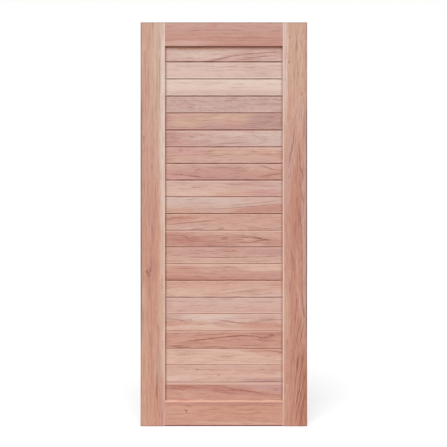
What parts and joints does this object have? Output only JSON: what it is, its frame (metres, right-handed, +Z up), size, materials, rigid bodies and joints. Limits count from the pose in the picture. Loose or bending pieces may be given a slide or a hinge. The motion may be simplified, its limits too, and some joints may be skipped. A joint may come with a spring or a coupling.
{
  "type": "boarded wooden door leaf",
  "caption": "Solid wooden door leaf: stiles and rails frame a recessed panel of horizontal tongue-and-groove boards, alike on both faces.",
  "frame": {"origin": "on the hinge edge, at the foot of the hinge stile, in the middle of the leaf's thickness", "axes": "+X across the leaf from the hinge edge to the lock edge, +Y through its thickness away from the front, +Z up"},
  "size_m": [0.866, 0.035, 2.1],
  "materials": {
    "frame_wood": "planed, unfinished",
    "pale_board": "planed, unfinished",
    "rose_board": "planed, unfinished",
    "tan_board": "planed, unfinished"
  },
  "bodies": {
    "root": {"hinge_stile": "frame_wood", "lock_stile": "frame_wood", "top_rail": "frame_wood", "bottom_rail": "frame_wood", "board_01": "pale_board", "board_02": "pale_board", "board_03": "pale_board", "board_04": "pale_board", "board_05": "rose_board", "board_06": "pale_board", "board_07": "tan_board", "board_08": "rose_board", "board_09": "pale_board", "board_10": "pale_board", "board_11": "rose_board", "board_12": "rose_board", "board_13": "rose_board", "board_14": "tan_board", "board_15": "pale_board", "board_16": "pale_board", "board_17": "tan_board", "board_18": "rose_board", "board_19": "tan_board", "board_20": "pale_board", "board_21": "rose_board"}
  },
  "joints": []
}
